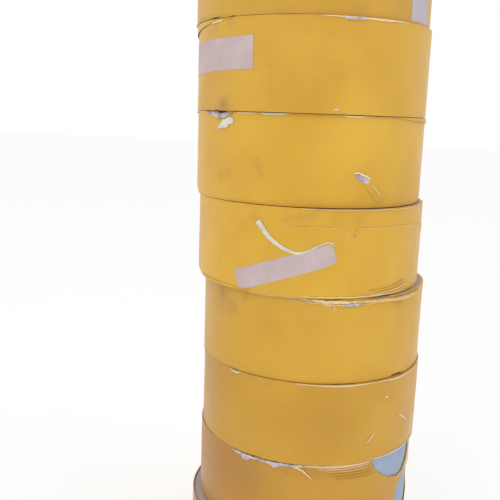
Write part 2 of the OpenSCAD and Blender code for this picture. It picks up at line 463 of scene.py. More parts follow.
def soft_lamp(name, place, aim, size, watts, colour):
    bpy.ops.object.light_add(type="AREA", location=place)
    lamp = bpy.context.object
    lamp.name = name
    lamp.data.size = size
    lamp.data.energy = watts
    lamp.data.color = colour
    lamp.rotation_euler = (Vector(aim) - Vector(place)).to_track_quat("-Z", "Y").to_euler()
    return lamp


soft_lamp("front_lamp", (-0.9, -1.7, 2.0), (0, 0, 0.75), 1.3, 7, (1.0, 0.98, 0.95))
soft_lamp("side_lamp", (1.5, -1.2, 1.7), (0, 0, 0.7), 1.0, 4, (0.94, 0.95, 1.0))

bpy.ops.mesh.primitive_plane_add(size=40, location=(0, 0, 0))
floor = added("floor")
floor_material, tree, shader = new_material("pale_floor", Roughness=0.9)
shader.inputs["Base Color"].default_value = (0.97, 0.97, 0.97, 1)
floor.data.materials.append(floor_material)
print("lights and floor are in")

# %% [markdown]
# ## Turning a round piece
#
# Sleeves, cushions and the cap are all bodies of revolution. Each starts as one circle, which is
# extruded and resized step by step along its half section until it comes back to where it began,
# just as a potter pulls up a wall. Merging the first and last circles closes the shape.

# %% A turned piece
def pull_along(name, section, around):
    """Pulls a circle along a half section, a list of (radius, height); stays in edit mode."""
    bpy.ops.object.select_all(action="DESELECT")
    bpy.ops.mesh.primitive_circle_add(vertices=around, radius=section[0][0],
                                      fill_type="NOTHING", location=(0, 0, section[0][1]))
    piece = added(name)
    bpy.ops.object.transform_apply(location=True)
    bpy.ops.object.mode_set(mode="EDIT")
    bpy.ops.mesh.select_mode(type="EDGE")
    bpy.ops.mesh.select_all(action="SELECT")
    for (r, z), (last_r, last_z) in zip(section[1:], section):
        bpy.ops.mesh.extrude_region_move(TRANSFORM_OT_translate={"value": (0, 0, z - last_z)})
        bpy.ops.transform.resize(value=(r / last_r, r / last_r, 1), center_override=(0, 0, z))
    return piece


def turned(name, section, around):
    """Turns a half section that comes back to its own start, so the body is closed."""
    piece = pull_along(name, section + section[:1], around)
    close_and_face_out(piece)
    return piece


def wall_heights(height, edge_steps, step):
    """Row heights up a wall: close together near both ends, even in between."""
    middle = np.linspace(edge_steps[-1], height - edge_steps[-1],
                         max(3, round((height - 2 * edge_steps[-1]) / step) + 1))
    return (list(edge_steps[:-1]) + [float(z) for z in middle]
            + [height - z for z in reversed(edge_steps[:-1])])


# %% [markdown]
# ## The film sleeve
#
# The film is wound tight round the foam and its trimmed ends are pressed just over the foam's
# edges, so the sleeve is a thin tube with a narrow lip at each end, and the ends wander a little.
# One clean blank is turned and copied for every ring. Then each copy is worked like clay: its face
# is dented, its trimmed ends are nibbled back and lifted in places, and the smudges, the browning
# and the painted shade are stored on it for the material to read.

# %% The clean sleeve
EDGE_ROWS = [z * MM for z in (0.25, 0.9, 1.7, 2.7, 3.9, 5.4, 7.4, 10)]
LIP = [(-1.0, 10), (-1.0, 6), (-1.0, 2.2), (-2.4, 0.8), (-2.5, 0.2), (-1.3, 0.05), (-0.45, 0.0),
       (-0.06, 0.05)]
LIP_EXTRA = {2: 0.0, 5: 1.2}  # mm that a ring's lips are wider; 2.6 where nothing is said
sleeve_rows = wall_heights(RING_H, EDGE_ROWS, 2.5 * MM)
sleeve_section = ([(RING_R + r * MM, z * MM) for r, z in LIP]
                  + [(RING_R, z) for z in sleeve_rows]
                  + [(RING_R + r * MM, RING_H - z * MM) for r, z in reversed(LIP)])
sleeve_blank = turned("film_blank", sleeve_section, 480)
print("blank sleeve:", len(sleeve_blank.data.vertices), "points")

# %% [markdown]
# ## Wear, ring by ring
#
# Each ring has its own small history. The first table says how much darker and browner each ring's
# film is: partly its own browning, partly painted shade where the light falls off towards the top
# and the foot of the stack. A smudge is a place, a size and a strength; the three at the top left
# of ring 8 are painted shadow under the film that hangs over from ring 9. A crease is a ridge from
# one place to another. Round the back, where nothing singles a ring out, the same kinds of wear
# are scattered by a seeded draw.

# %% The wear each ring has had
# How much darker and browner each ring's film is: partly its own browning, partly painted shade
# where the light falls off towards the top and foot.
SHADE_AND_BROWNING = {10: 0.4, 9: 0.40, 8: 0.18, 7: 0.04, 6: 0.0, 5: 0.20, 4: 0.42, 3: 0.52, 2: 0.6, 1: 0.7}
SMUDGES_AND_SHADOWS = {  # degrees, mm up, size in mm, strength
    9: [(-50, 12, 22, .16), (42, 14, 14, .2), (20, 6, 10, .2)],
    # The three smudges near the top left, -58 to -40 degrees and 86 to 96 mm up, are painted
    # shadow under the film hanging over from ring 9.
    8: [(-44, 6, 11, .85), (-52, 94, 9, .5), (-40, 96, 8, .45), (-58, 86, 10, .25),
        (4, 52, 24, .16), (-18, 50, 14, .14), (12, 40, 12, .12)],
    7: [(-45, 27, 7, .3), (-40, 30, 7, .25), (-24, 46, 9, .25), (-23, 38, 7, .2),
        (-21, 30, 6, .25), (-44, 86, 11, .4), (33, 18, 8, .3), (36, 6, 7, .4)],
    6: [(-11, 88, 7, .34), (-5, 90, 8, .34), (1, 93, 8, .34), (-26, 88, 9, .3), (12, 90, 12, .25),
        (23, 88, 14, .25), (-31, 76, 8, .2), (50, 12, 9, .25), (-30, 8, 14, .2)],
    5: [(-50, 88, 15, .6), (-43, 74, 14, .45), (-53, 66, 14, .35), (-34, 90, 7, .4),
        (44, 92, 12, .4), (-20, 60, 20, .12)],
    4: [(-20, 92, 5, .4), (31, 25, 8, .25), (8, 40, 30, .14), (-60, 50, 26, .2)],
    3: [(-55, 60, 34, .45), (-30, 72, 26, .35), (-9, 88, 4, .9), (-48, 90, 18, .4),
        (-64, 30, 26, .4), (4, 92, 12, .3)],
}
CREASES = {  # from degrees, mm up, to degrees, mm up, width in mm, height in mm
    9: [(33, 30, 43, 10, 2.2, 0.45), (-12, 30, -30, 8, 3, 0.25)],
    8: [(-50, 92, -30, 84, 2.4, 0.3), (60, 90, 72, 40, 3, 0.3)],
    7: [(29, 27, 35, 12, 1.6, -0.5), (-30, 36, -20, 52, 3, -0.25)],
    6: [(-36, 70, -24, 84, 3, -0.25), (60, 70, 74, 30, 3, 0.25)],
    5: [(-55, 96, -38, 70, 3.5, -0.4), (20, 96, 30, 84, 2, 0.4)],
    4: [(28, 20, 35, 38, 1.6, -0.5), (50, 50, 62, 26, 1.8, 0.5)],
    3: [(-20, 96, 0, 82, 3, 0.4)],
}
NIBBLES = {  # degrees, half width in mm, depth in mm, at the ring's foot or top
    9: [(-50, 9, 1.6, "foot"), (70, 6, 3.2, "foot"), (-38, 5, 1.2, "foot")],
    8: [(-50, 7, 1.6, "foot"), (-57, 4, 1.2, "foot"), (-36, 5, .6, "foot")],
    7: [(-46, 9, 4.0, "top"), (-16, 16, 1.2, "top"), (20, 10, 1.2, "top")],
    6: [(15, 10, .5, "foot"), (40, 14, .8, "foot")],
    5: [(8, 12, 1.6, "top"), (32, 18, 1.8, "top"), (48, 10, 2.0, "top"), (47, 12, 3.0, "foot")],
    4: [(15, 16, .8, "top"), (-40, 5, 1.0, "top"), (-25, 9, 1.0, "foot")],
    3: [(-28, 7, 3.0, "top"), (-14, 6, 2.6, "top"), (-1, 8, 3.4, "top"), (18, 22, 2.4, "top")],
}
SOFT_CORNERS = {  # where an edge has been pressed in: degrees, half width in mm, depth in mm
    6: [(-88, 46, 4.5)], 7: [(-90, 40, 3.2), (86, 30, 1.5)], 9: [(78, 12, 1.5)], 4: [(200, 40, 4)],
    8: [(140, 30, 3)], 2: [(165, 40, 3)], 10: [(230, 36, 3)]}
draw = random.Random(41)
for ring in RINGS:
    for table in (SMUDGES_AND_SHADOWS, CREASES, NIBBLES):
        table.setdefault(ring, [])
    for _ in range(7):
        SMUDGES_AND_SHADOWS[ring].append((draw.uniform(85, 275), draw.uniform(5, 95),
                              draw.uniform(6, 22), draw.uniform(.15, .5)))
    for _ in range(3):
        start, rise = draw.uniform(90, 260), draw.uniform(10, 80)
        CREASES[ring].append((start, rise, start + draw.uniform(-14, 14),
                              rise + draw.uniform(-30, 30), 2.5, draw.uniform(-.4, .4)))
        NIBBLES[ring].append((draw.uniform(85, 275), draw.uniform(4, 12),
                              draw.uniform(1, 3), draw.choice(("foot", "top"))))
print("smudges in all:", sum(map(len, SMUDGES_AND_SHADOWS.values())))


# %% Reading the wear at a place
MM_PER_DEGREE = RING_R / MM * math.pi / 180


def degrees_between(a, b):
    return (a - b + 180) % 360 - 180


def noise_mm(degrees, up, size, seed):
    """Smooth noise over the face of a ring, from -1 to 1, with lumps of about `size` mm."""
    turn, r = math.radians(degrees), RING_R / MM
    return noise.noise(Vector((r * math.sin(turn), r * math.cos(turn), up + 517.3 * seed)) / size)


def crease_height(degrees, up, crease):
    """How far one crease lifts the film there, in mm."""
    a, b, width, height = crease[:2], crease[2:4], crease[4], crease[5]
    run = Vector((degrees_between(b[0], a[0]) * MM_PER_DEGREE, b[1] - a[1]))
    here = Vector((degrees_between(degrees, a[0]) * MM_PER_DEGREE, up - a[1]))
    share = min(1, max(0, here.dot(run) / run.length_squared))
    gap = (here - run * share).length
    return height * math.exp(-(gap / width) ** 2) * math.sin(math.pi * min(.95, max(.05, share)))


def face_off(ring, degrees, up):
    """How far the film's face stands off a true cylinder there, in mm."""
    off = 0.42 * noise_mm(degrees, up, 85, ring) + 0.14 * noise_mm(degrees, up, 24, ring) - 0.15
    near_end = ease(1 - min(up, RING_H / MM - up) / 7)
    off += near_end * (0.4 * max(0, noise_mm(degrees, up, 30, ring + .5)) - 0.15)
    off += sum(crease_height(degrees, up, crease) for crease in CREASES[ring])
    return max(-0.85, off)


def pressed_in(ring, degrees, up):
    """How far a knocked lower edge has been pressed in there, film and foam alike, in mm."""
    return sum(deep * math.exp(-(degrees_between(degrees, where) * MM_PER_DEGREE / half) ** 2)
               * max(0.0, 1 - up / 8) ** 2 for where, half, deep in SOFT_CORNERS.get(ring, ()))


def end_back(ring, degrees, foot):
    """How far the trimmed end has been nibbled back there, in mm."""
    back = 0.2 * noise_mm(degrees, 0 if foot else 60, 14, ring)
    for where, half, deep, end in NIBBLES[ring]:
        gap = abs(degrees_between(degrees, where)) * MM_PER_DEGREE / half
        if gap < 1 and (end == "foot") == foot:
            back += deep * (1 - gap ** 2) * (0.75 + 0.5 * noise_mm(degrees, 9, 3, ring))
    return max(0.0, back)


def film_tone_and_shade(ring, degrees, up):
    """How dark and brown the film is there, from 0 to 0.95: its own browning, with painted shade
    towards the top and foot of the stack and down the left of the lower rings.
    """
    age = SHADE_AND_BROWNING[ring] + 0.18 * noise_mm(degrees, up, 60, ring + .3)
    if ring == 3:
        age += 0.35 * ease((8 - degrees) / 50) * ease((degrees + 120) / 30)
    # Painted shade: the left side of rings 1 to 5 is made darker and browner.
    if ring <= 5:
        age += 0.3 * ease((-30 - degrees) / 45) * ease((degrees + 130) / 30)
    return min(0.95, max(0.0, age))


def film_smudge_and_shadow(ring, degrees, up):
    """How much the film is darkened there, from 0 to 0.9: a band along both ends, the smudges, and
    a painted shadow at the top left of ring 8.
    """
    to_end = min(up, RING_H / MM - up)
    darkness = 0.32 * ease(1 - to_end / 5) * (0.4 + noise_mm(degrees, up, 20, ring + .7))
    for where, high, size, strength in SMUDGES_AND_SHADOWS[ring]:
        gap = math.hypot(degrees_between(degrees, where) * MM_PER_DEGREE, up - high)
        if gap < 2.2 * size:
            darkness += strength * math.exp(-(gap / size) ** 2 * 1.6)
    return min(0.9, max(0.0, darkness))


def store_wear_and_shade(piece, ring):
    """Stores the darkening on every point of a piece that lies on a ring: browning and painted
    shade, smudges and a painted shadow.
    """
    tone = piece.data.attributes.new("tone", "FLOAT", "POINT").data
    smudge_and_shadow = piece.data.attributes.new("smudge_and_shadow", "FLOAT", "POINT").data
    for point in piece.data.vertices:
        place = place_on_ring(ring, point.co)
        tone[point.index].value = film_tone_and_shade(ring, *place)
        smudge_and_shadow[point.index].value = film_smudge_and_shadow(ring, *place)


def place_on_ring(ring, co):
    at = RINGS[ring]
    return (math.degrees(math.atan2(co.x - at["x"], at["y"] - co.y)),
            (co.z - at["foot"]) / MM)


# %% Working one sleeve
def work_sleeve(piece, ring):
    """Dents the wall, sets how far the two lips reach in and nibbles back the ends of one sleeve.
    """
    at, top = RINGS[ring], RING_H / MM
    for point in piece.data.vertices:
        degrees, up = place_on_ring(ring, point.co)
        spoke = Vector((point.co.x - at["x"], point.co.y - at["y"]))
        foot, off = up < top / 2, 0.0
        if spoke.length > RING_R - 0.6 * MM:
            off = face_off(ring, degrees, up)
        elif spoke.length < RING_R - 2 * MM:
            off = -LIP_EXTRA.get(ring, 2.6) - 0.9 * noise_mm(degrees, 60 * foot, 12, ring + .9)
        spoke *= 1 + (off - pressed_in(ring, degrees, up)) * MM / RING_R
        point.co.x, point.co.y = at["x"] + spoke.x, at["y"] + spoke.y
        shift = end_back(ring, degrees, foot) * max(0.0, 1 - min(up, top - up) / 9) ** 2
        point.co.z += (shift if foot else -shift) * MM


# %% [markdown]
# ## Where the film is torn right through
#
# On the third ring a corner of film is gone, and a patch of the side, and the foam shows. Each
# closed, slightly ragged outline is drawn as a flat shape, bent on to the ring, pushed through the
# sleeve and subtracted. The Boolean keeps its self-intersection option on for these cuts: without
# it the whole sleeve of the third ring is lost.

# %% Cutting through a sleeve
def smooth_line(stops, steps, closed=False):
    """Points along a smooth line through some stops, each a tuple of numbers (Catmull-Rom)."""
    stops = np.array(stops, dtype=float)
    if closed:
        stops = np.vstack((stops[-1:], stops, stops[:2]))
    else:
        stops = np.vstack((stops[:1], stops, stops[-1:]))
    line = []
    for a, b, c, d in zip(stops, stops[1:], stops[2:], stops[3:]):
        for t in np.linspace(0, 1, steps, endpoint=False):
            line.append(0.5 * (2 * b + (c - a) * t + (2 * a - 5 * b + 4 * c - d) * t * t
                               + (3 * b - a - 3 * c + d) * t ** 3))
    return line if closed else line + [stops[-1]]


TEAR_OUTER, TEAR_INNER = 30, -1.4  # mm off the film's face where the plug starts and ends


def subtract(piece, cutter, use_self=False):
    cut = piece.modifiers.new("cut", "BOOLEAN")
    cut.operation, cut.object, cut.solver = "DIFFERENCE", cutter, "EXACT"
    cut.use_self = use_self
    apply_modifiers(piece)
    bpy.data.objects.remove(cutter)


def tear_out(piece, ring, outline, seed):
    """Subtracts a radial plug whose outline is given in (degrees, mm up) on the ring."""
    line = smooth_line(outline, 9, closed=True)
    bpy.ops.object.select_all(action="DESELECT")
    bpy.ops.mesh.primitive_circle_add(vertices=len(line), radius=1, fill_type="NGON")
    cutter = added("tear_cutter")
    bpy.ops.object.mode_set(mode="EDIT")
    bpy.ops.mesh.select_all(action="SELECT")
    bpy.ops.mesh.extrude_region_move(TRANSFORM_OT_translate={"value": (0, 0, 1)})
    bpy.ops.object.mode_set(mode="OBJECT")
    for index, point in enumerate(cutter.data.vertices):
        degrees, up = line[index % len(line)]
        degrees += 0.6 * noise_mm(degrees, up, 4, seed) + 1.6 * noise_mm(degrees, up, 13, seed)
        up += 1.3 * noise_mm(degrees, up, 4, seed + 1) + 3 * noise_mm(degrees, up, 13, seed + 1)
        point.co = ring_point(ring, degrees, up, TEAR_OUTER if point.co.z > 0.5 else TEAR_INNER)
    close_and_face_out(cutter)
    subtract(piece, cutter, use_self=True)


TORN_CORNER = [(35, 104), (36.5, 90), (41, 78), (48, 68), (57, 61.5), (65, 65), (70, 77),
               (72, 92), (71, 104)]
TORN_SIDE = [(59, 12), (56.5, 26), (55.5, 37), (58, 45), (63, 51), (69, 56), (75, 59), (82, 55),
             (86, 46), (92, 42), (99, 44), (104, 37), (99, 28), (90, 26), (84, 17), (76, 10),
             (67, 5)]

# %% Make the ten sleeves
for ring in sorted(RINGS):
    sleeve = copy_of(sleeve_blank, f"film_sleeve_{ring:02d}")
    sleeve.location = ring_point(ring, 0, 0) + Vector((0, RING_R, 0))
    only(sleeve)
    bpy.ops.object.transform_apply(location=True)
    work_sleeve(sleeve, ring)
    if ring == 3:
        tear_out(sleeve, ring, TORN_CORNER, 1)
        tear_out(sleeve, ring, TORN_SIDE, 3)
    store_wear_and_shade(sleeve, ring)
    finish(sleeve, f"ring_{ring:02d}", "yellow_film", yellow_film, f"film_{ring:02d}", smooth=50)
bpy.data.objects.remove(sleeve_blank)

# %% [markdown]
# ## The foam cushions
#
# Under the film each ring is foam. It shows as a pale rim wherever a ring stands out past its
# neighbour, and through the torn film. One ring of foam is turned with softly rounded edges; each
# copy gets its own shallow unevenness, as cut foam has.

# %% Turn and copy the foam
foam_low, foam_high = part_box("cushion_01")
FOAM_H = foam_high.z - foam_low.z
FOAM_R = (foam_high.x - foam_low.x) / 2 - 0.4 * MM
hoop_low, hoop_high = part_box("hoop_01")
FOAM_BORE = (hoop_high.x - hoop_low.x) / 2 + 0.3 * MM
FOAM_ROUND, FOAM_SINK = 3.2 * MM, 0.35 * MM  # its edges' radius, and its ends' drop below the CAD
quarter = [(FOAM_ROUND * (1 - math.sin(a)), FOAM_ROUND * (1 - math.cos(a)))
           for a in np.linspace(math.pi / 8, math.pi / 2, 4)]
face_rings = [float(r) for r in np.linspace(FOAM_BORE, FOAM_R - FOAM_ROUND, 5)]
foam_rows = wall_heights(FOAM_H, [4 * MM, 7 * MM, 10 * MM], 5 * MM)
foam_section = ([(r, 0.0) for r in face_rings]
                + [(FOAM_R - inward, up) for inward, up in quarter]
                + [(FOAM_R, z) for z in foam_rows]
                + [(FOAM_R - inward, FOAM_H - up) for inward, up in reversed(quarter)]
                + [(r, FOAM_H) for r in reversed(face_rings)])
foam_blank = turned("foam_blank", foam_section, 240)
for ring in sorted(RINGS):
    foam = copy_of(foam_blank, f"foam_ring_{ring:02d}")
    tone = foam.data.attributes.new("tone", "FLOAT", "POINT").data
    for point in foam.data.vertices:
        degrees = math.degrees(math.atan2(point.co.x, -point.co.y))
        dip = 0.25 * (1 + noise_mm(degrees, point.co.z / MM, 18, ring + .2)) * MM
        dip += pressed_in(ring, degrees, point.co.z / MM) * MM
        if point.co.xy.length > FOAM_R - 5 * MM:
            point.co.x, point.co.y = point.co.xy * (1 - dip / RING_R)
        if min(point.co.z, FOAM_H - point.co.z) < 0.2 * MM:
            sunk = FOAM_SINK + min(0.5 * dip, 0.3 * MM)
            point.co.z += math.copysign(sunk, FOAM_H / 2 - point.co.z)
            tone[point.index].value = 1.0
    foam.location = ring_point(ring, 0, 0) + Vector((0, RING_R, (RING_H - FOAM_H) / 2))
    finish(foam, f"ring_{ring:02d}", "blue_foam", blue_foam, f"cushion_{ring:02d}", smooth=60)
bpy.data.objects.remove(foam_blank)

# %% [markdown]
# ## Things that lie on a ring
#
# Tape, torn liner, lifted lips of film and the threads along the seams are all thin strips on a
# round face. A strip starts as a grid. It is laid along a line of stops, each saying where the
# line is, how wide the strip is above and below it and how far it stands off the film, and then
# it gets a real thickness.

# %% Laying a strip on a ring
def strip(name, ring, stops, material, thick=0.25, ragged=0.0, crumple=0.0, seed=0.0, steps=8,
          across=4, upright=False):
    """Stops are (degrees, mm up, mm above the line, mm below it, mm off the face)."""
    line = smooth_line(stops, steps)
    bpy.ops.object.select_all(action="DESELECT")
    bpy.ops.mesh.primitive_grid_add(x_subdivisions=len(line) - 1, y_subdivisions=across, size=2)
    piece = added(name)
    flat = [Vector((stop[0] * MM_PER_DEGREE, stop[1])) for stop in line]
    run = [0.0]
    for a, b in zip(flat, flat[1:]):
        run.append(run[-1] + (b - a).length)
    widest = max(stop[2] + stop[3] for stop in line)
    side = []
    for point in piece.data.vertices:
        i = round((point.co.x + 1) / 2 * (len(line) - 1))
        v = (point.co.y + 1) / 2
        along = (flat[min(i + 1, len(flat) - 1)] - flat[max(i - 1, 0)]).normalized()
        _, _, above, below, off = line[i]
        rag = ragged * abs(2 * v - 1) * (noise_mm(run[i] / 1.7, 37 * v, 3.5, seed)
                                         + 0.5 * noise_mm(run[i] / 1.7, 37 * v, 1.1, seed + 9))
        square = Vector((0, 1)) if upright else Vector((-along.y, along.x))
        place = flat[i] + square * (v * above - (1 - v) * below + rag)
        if i in (0, len(line) - 1):
            place += along * ragged * 1.3 * noise_mm(0, 40 * v, 5, seed + 2)
        degrees, up = place.x / MM_PER_DEGREE, place.y
        off += (face_off(ring, degrees, min(RING_H / MM, max(0, up)))
                - pressed_in(ring, degrees, up))
        off += crumple * (0.5 + noise_mm(run[i] / 2, 60 * v, 4, seed + 5))
        side.append((run[i] * MM, v * widest * MM))
        point.co = ring_point(ring, degrees, up, off + 0.05)
    uv = piece.data.uv_layers.active or piece.data.uv_layers.new()
    uv.name = "UVMap"
    for loop in piece.data.loops:
        uv.data[loop.index].uv = side[loop.vertex_index]
    thickness = piece.modifiers.new("thickness", "SOLIDIFY")
    thickness.thickness, thickness.offset = thick * MM, 1
    apply_modifiers(piece)
    close_and_face_out(piece, join=0.000001)
    if "film" in material.name:
        store_wear_and_shade(piece, ring)
    piece.data.materials.append(material)
    return piece


def joined(name, ring, slot, material, pieces, smooth=50):
    """Joins strips of one finish into a single piece that rides their ring."""
    only(pieces[0])
    for other in pieces[1:]:
        other.select_set(True)
    bpy.ops.object.join()
    pieces[0].name = pieces[0].data.name = name
    return finish(pieces[0], f"ring_{ring:02d}", slot, material, smooth=smooth)


# %% The tapes
tape = strip("tape_strip", 9, [(58, 2.2, 21, 21, 0), (58, 30, 21, 21, 0), (58, 78.5, 21, 21, 0)],
             pale_tape, ragged=0.35, seed=1, steps=14, across=16)
finish(tape, "ring_09", "masking_tape", pale_tape, "tape_strip")
tape = strip("tape_patch", 8, [(-115, 56.6, 18, 18, 0), (-94, 57.8, 18, 18, 0),
                               (-72, 59.2, 18, 18, 0), (-50, 60.9, 17.6, 17.6, 0),
                               (-27.3, 62.2, 17.4, 17.4, 0.15)],
             masking_tape, ragged=0.8, seed=2, steps=22, across=12)
finish(tape, "ring_08", "masking_tape", masking_tape, "tape_patch")
tape = strip("tape_slant", 6, [(-35.1, 12.0, 12, 12.2, 0.05), (-25, 20.2, 12, 12, 0),
                               (-11.6, 32.0, 11.8, 12, 0), (3, 44.4, 11.6, 12, 0),
                               (9.2, 50.0, 11.0, 11.6, 0), (11.6, 52.2, 8.2, 11, 0.15)],
             masking_tape, ragged=0.7, seed=4, steps=10, across=12)
finish(tape, "ring_06", "masking_tape", masking_tape, "tape_slant")

# %% [markdown]
# ## The torn liner and the lifted lap of film
#
# On the sixth ring a curl of white liner runs down to the slanted tape and on along its edge. The
# film on that ring is wound in two turns: the outer turn ends in a lap across the right of the
# face, with a small tear in it.

# %% Liner arc, lap and gouge
arc = [(-24.2, 82.0, 3.2, 3.0, 1.2), (-22, 75.5, 2.9, 2.8, 0.7), (-18.6, 65.8, 2.5, 2.4, 0.4),
       (-13.4, 56.8, 2.1, 2.1, 0.3), (-8.2, 51.6, 1.7, 1.8, 0.3), (-4.6, 50.1, 1.3, 1.5, 0.3),
       (-1.0, 52.8, 0.9, 1.1, 0.3), (2.6, 57.4, 0.8, 0.8, 0.3), (6.2, 61.6, 0.7, 0.7, 0.35),
       (8.8, 63.1, 0.7, 0.7, 0.35), (10.6, 61.8, 0.6, 0.6, 0.3), (11.7, 58.8, 0.4, 0.4, 0.3)]
liner = strip("liner_arc", 6, arc, white_liner, ragged=0.6, seed=7, steps=9, across=5)
finish(liner, "ring_06", "white_liner", white_liner, "liner_strip")

lap_top = [(-16, 77.5), (-11, 78.8), (-4, 79.4), (6, 79.8), (13, 79.4), (15.4, 76.8),
           (17.6, 74.4), (19.4, 71.2), (20.4, 67.6), (21.2, 73.5), (22.0, 78.6), (30, 79.3),
           (45, 79.2), (60, 77.6), (74, 73.4), (96, 72), (120, 72)]
LAP_FOOT, LAP_SINK = 52, 1.2  # mm up where the lap has faded out, and how deep its fade goes
lap = strip("film_lap", 6, [(d, h, 0, h - LAP_FOOT, .1) for d, h in lap_top], yellow_film,
            thick=0.5, ragged=0.25, seed=9, steps=8, across=10, upright=True)
for point in lap.data.vertices:
    degrees, up = place_on_ring(6, point.co)
    outward = ring_point(6, degrees, 0, 1) - ring_point(6, degrees, 0)
    fade = ease((up - LAP_FOOT) / 14) * ease((degrees + 16) / 9) * ease((120 - degrees) / 12)
    point.co -= outward * (1 - fade) * LAP_SINK
finish(lap, "ring_06", "yellow_film", yellow_film, smooth=50)
# The lap's edge is amber film: a painted highlight along it.
lap_edges = [strip(f"lap_edge_{i}", 6, [(d, h - .3, .3, .3, .55) for d, h in lap_top[a:b]],
                   amber_highlight_film, thick=0.2, ragged=0.5, seed=31 + i, steps=7, across=3)
             for i, (a, b) in enumerate(((1, 6), (5, 8), (8, 12), (11, 15)))]
joined("lap_edge", 6, "yellow_film", amber_highlight_film, lap_edges)

# The gouge pit is painted shade: liner painted darker, as liner lying in shadow.
pit = strip("gouge_pit", 7, [(21.4, 36.4, .8, .8, 0), (22.6, 34.6, 3.4, 3.2, .05),
                             (25.0, 32.6, 3.8, 4.2, .05), (27.2, 30.4, 2.6, 3.6, .05),
                             (28.6, 28.6, .8, .8, 0)], shaded_lavender_liner, thick=.15, ragged=1.3,
            seed=11, across=8)
finish(pit, "ring_07", "white_liner", shaded_lavender_liner)
# The gouge's rim and the scratch are cream film: a painted highlight.
edge = strip("gouge_edge", 7, [(20.4, 38.2, .5, .7, .3), (22.6, 38.8, .6, 1.2, .8),
                               (25.4, 36.4, .7, 1.5, 1.1), (28.2, 33.2, .6, 1.2, .8),
                               (29.6, 31.0, .4, .6, .2)], cream_highlight_film, ragged=0.7, seed=13)
scratch = strip("scratch_07", 7, [(29.8, 24.6, .4, .4, .1), (32, 21.6, .5, .6, .3),
                                  (33.6, 17, .5, .5, .3), (35.2, 14.4, .3, .3, .1)],
                cream_highlight_film, thick=0.15, ragged=0.5, seed=14)
joined("gouge_edges", 7, "yellow_film", cream_highlight_film, [edge, scratch])
tail = strip("gouge_tail", 7, [(25.4, 28.4, .5, .5, -.1), (28.2, 21.6, 2.2, 1.8, .2),
                               (31.4, 13.4, 2.0, 1.8, .15), (34.6, 5.8, 1.0, 1.0, -.1)],
             yellow_film, thick=0.3, ragged=0.8, seed=12)
finish(tail, "ring_07", "yellow_film", yellow_film)

# %% [markdown]
# ## Torn edges along the seams
#
# Where two rings meet, the trimmed film has frayed: pale lips where it curls, lavender shreds of
# the liner below it, a few threads. The pale lips are film painted lighter, a painted highlight on
# their paler cut edge; the lavender shreds are liner painted darker, as painted shade. On rings 8
# and 7 a wide yellow strip stands for the film that hangs over the seam above. Every bit belongs
# to one ring and keeps to that ring's own wall, so the rings can still turn. The front ones are
# placed one by one. The back, and the rings at the top and foot of the stack, get theirs from a
# seeded draw.

